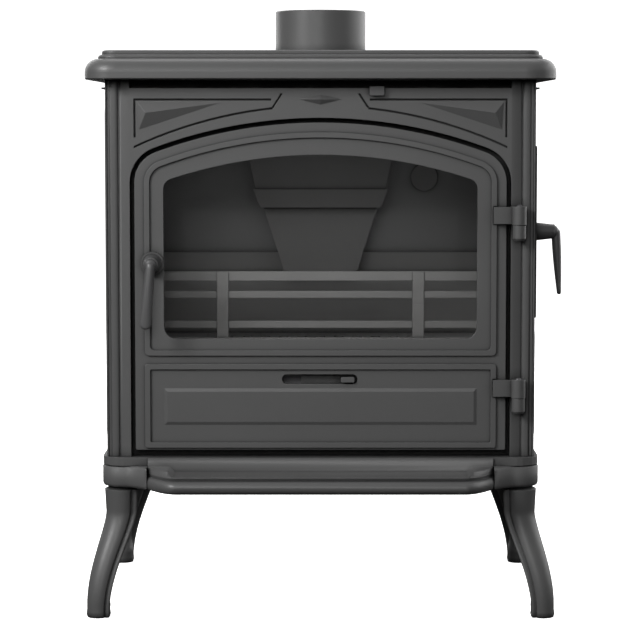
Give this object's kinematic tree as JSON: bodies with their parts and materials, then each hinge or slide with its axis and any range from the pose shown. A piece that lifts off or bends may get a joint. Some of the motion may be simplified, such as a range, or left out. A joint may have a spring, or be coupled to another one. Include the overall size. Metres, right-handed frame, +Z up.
{
  "type": "wood stove",
  "caption": "Cast iron wood stove on cabriole legs with an arched glass door, a side loading door, latches, air slides, a drawn ash pan and a top flue collar.",
  "frame": {"origin": "on the floor under the middle of the stove's bounding box", "axes": "+X to the stove's right seen from the front, +Y to the back, +Z up; the front faces -Y"},
  "size_m": [0.6246, 0.4555, 0.7988],
  "materials": {
    "cast_iron": "matt charcoal stove paint",
    "hot_iron": "dark, heat-dulled",
    "handle_iron": "satin charcoal",
    "lining_board": "sooted lining plate",
    "bare_steel": "dulled",
    "ceramic_glass": "clear with a faint grey tint",
    "seal_rope": "woven glass fibre"
  },
  "bodies": {
    "stove_body": {"base_plate": "cast_iron", "base_ring": "cast_iron", "ash_lip": "cast_iron", "leg_front_left": "cast_iron", "leg_front_right": "cast_iron", "leg_rear_left": "cast_iron", "leg_rear_right": "cast_iron", "leg_bolts": "bare_steel", "front_plate": "cast_iron", "left_panel": "cast_iron", "right_panel": "cast_iron", "rear_panel": "cast_iron", "tie_rods": "bare_steel", "top_plate": "cast_iron", "flue_collar": "cast_iron", "collar_screws": "bare_steel", "fire_floor": "cast_iron", "grate": "hot_iron", "left_lining": "lining_board", "right_lining": "lining_board", "rear_lining": "cast_iron", "port_plug": "cast_iron", "roof_baffle": "lining_board", "throat_hood": "cast_iron", "throat_tongue": "cast_iron", "guard_lower": "cast_iron", "guard_upper": "cast_iron", "pan_runners": "hot_iron", "air_wash_channel": "hot_iron", "body_knuckles": "cast_iron", "hinge_pins": "bare_steel", "side_body_leaves": "cast_iron", "side_hinge_pins": "bare_steel"},
    "front_door": {"door_casting": "cast_iron", "door_straps": "cast_iron", "door_glass": "ceramic_glass", "glass_tape": "seal_rope", "glass_clips": "bare_steel", "clip_screws": "bare_steel", "door_rope": "seal_rope", "slide_guides": "bare_steel"},
    "primary_air": {"primary_slide": "cast_iron"},
    "front_handle": {"front_lever": "handle_iron", "front_tongue": "bare_steel", "front_nut": "bare_steel"},
    "air_wash": {"air_wash_slide": "bare_steel"},
    "side_door": {"side_door_casting": "cast_iron", "side_door_rope": "seal_rope", "side_door_leaves": "cast_iron"},
    "side_handle": {"side_lever": "handle_iron", "side_tongue": "bare_steel", "side_nut": "bare_steel"},
    "ash_drawer": {"ash_pan": "bare_steel"}
  },
  "joints": [
    {"name": "front_door_hinge", "type": "hinge", "parent": "stove_body", "child": "front_door", "pos_m": [0.2577, -0.164, 0.3938], "axis": [0, 0, 1], "range_deg": [0, 115]},
    {"name": "front_handle_turn", "type": "hinge", "parent": "front_door", "child": "front_handle", "pos_m": [-0.2186, -0.154, 0.4628], "axis": [0, 1, 0], "range_deg": [0, 90]},
    {"name": "primary_air_slide", "type": "slide", "parent": "front_door", "child": "primary_air", "axis": [1, 0, 0], "range_m": [-0.024, 0]},
    {"name": "air_wash_slide", "type": "slide", "parent": "stove_body", "child": "air_wash", "axis": [1, 0, 0], "range_m": [-0.02, 0.02]},
    {"name": "side_door_hinge", "type": "hinge", "parent": "stove_body", "child": "side_door", "pos_m": [0.2885, 0.156, 0.4938], "axis": [0, 0, 1], "range_deg": [0, 100]},
    {"name": "side_handle_turn", "type": "hinge", "parent": "side_door", "child": "side_handle", "pos_m": [0.283, -0.114, 0.5023], "axis": [-1, 0, 0], "range_deg": [0, 90]},
    {"name": "ash_pan_slide", "type": "slide", "parent": "stove_body", "child": "ash_drawer", "axis": [0, -1, 0], "range_m": [0, 0.223]}
  ],
  "couplings": [
    {"joint": "ash_pan_slide", "follows": "front_door_hinge", "m_per_rad": 0.11}
  ]
}
